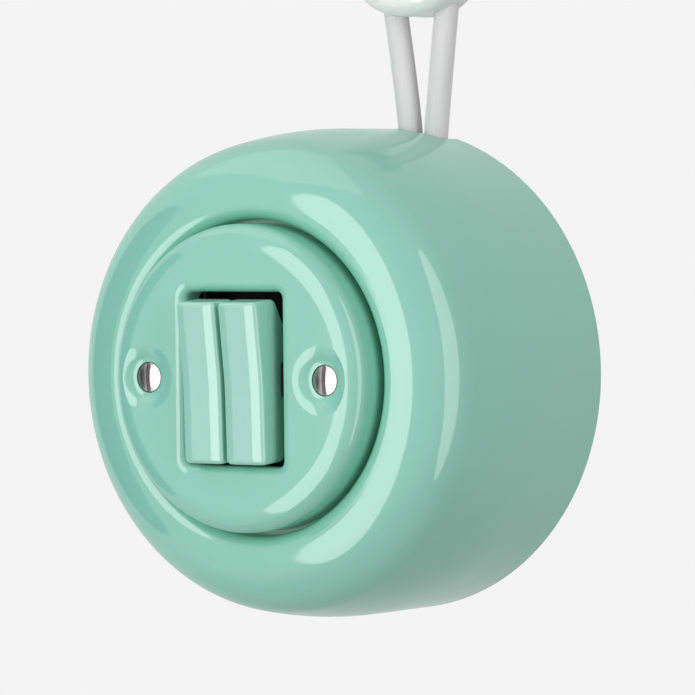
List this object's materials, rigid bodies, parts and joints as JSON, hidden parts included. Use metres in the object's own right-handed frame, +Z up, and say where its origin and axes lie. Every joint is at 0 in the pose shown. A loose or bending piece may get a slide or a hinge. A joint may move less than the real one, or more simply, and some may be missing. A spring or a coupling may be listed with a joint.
{
  "type": "surface-mounted rocker light switch",
  "caption": "Round surface-mounted porcelain light switch with rocker keys, slotted cover screws, textile leads and an oval wall insulator.",
  "frame": {"origin": "centre of the back face, on the wall", "axes": "+Z up the wall, +X to the right as the switch is faced, +Y into the wall"},
  "size_m": [0.1, 0.0639, 0.1361],
  "materials": {
    "casing_glaze": "clear glossy glaze",
    "rocker_gloss": "glossy moulded",
    "pale_glaze": "clear glossy glaze",
    "polished_nickel": "polished",
    "zinc_steel": "zinc plated",
    "blackened_steel": "blackened",
    "spring_steel": "drawn",
    "dark_moulding": "moulded",
    "base_moulding": "moulded",
    "contact_brass": "pressed",
    "bare_copper": "drawn copper wire",
    "textile_braid": "woven braid"
  },
  "bodies": {
    "root": {"casing": "casing_glaze", "cover_plate": "casing_glaze", "cover_screws": "polished_nickel", "rocker_axle": "spring_steel", "switch_body": "dark_moulding", "support_frame": "blackened_steel", "frame_inserts": "contact_brass", "frame_screws": "zinc_steel", "body_screws": "zinc_steel", "switched_terminal_left": "contact_brass", "switched_terminal_right": "contact_brass", "common_terminal": "contact_brass", "contact_pins": "spring_steel", "terminal_cages": "zinc_steel", "terminal_screws": "zinc_steel", "wall_base": "base_moulding", "lead_left": "textile_braid", "lead_right": "textile_braid", "lead_cores": "bare_copper", "insulator": "pale_glaze"},
    "rocker_left": {"rocker_left": "rocker_gloss", "plunger_left": "contact_brass", "plunger_spring_left": "spring_steel"},
    "contact_left": {"moving_contact_left": "contact_brass"},
    "rocker_right": {"rocker_right": "rocker_gloss", "plunger_right": "contact_brass", "plunger_spring_right": "spring_steel"},
    "contact_right": {"moving_contact_right": "contact_brass"}
  },
  "joints": [
    {"name": "rocker_left_tip", "type": "hinge", "parent": "root", "child": "rocker_left", "pos_m": [-0.0052, -0.053, 0], "axis": [1, 0, 0], "range_deg": [-9, 0]},
    {"name": "contact_left_tip", "type": "hinge", "parent": "root", "child": "contact_left", "pos_m": [-0.0052, -0.03725, 0], "axis": [1, 0, 0], "range_deg": [0, 12]},
    {"name": "rocker_right_tip", "type": "hinge", "parent": "root", "child": "rocker_right", "pos_m": [0.0052, -0.053, 0], "axis": [1, 0, 0], "range_deg": [-9, 0]},
    {"name": "contact_right_tip", "type": "hinge", "parent": "root", "child": "contact_right", "pos_m": [0.0052, -0.03725, 0], "axis": [1, 0, 0], "range_deg": [0, 12]}
  ],
  "couplings": [
    {"joint": "contact_left_tip", "follows": "rocker_left_tip", "ratio": -1.3333},
    {"joint": "contact_right_tip", "follows": "rocker_right_tip", "ratio": -1.3333}
  ]
}
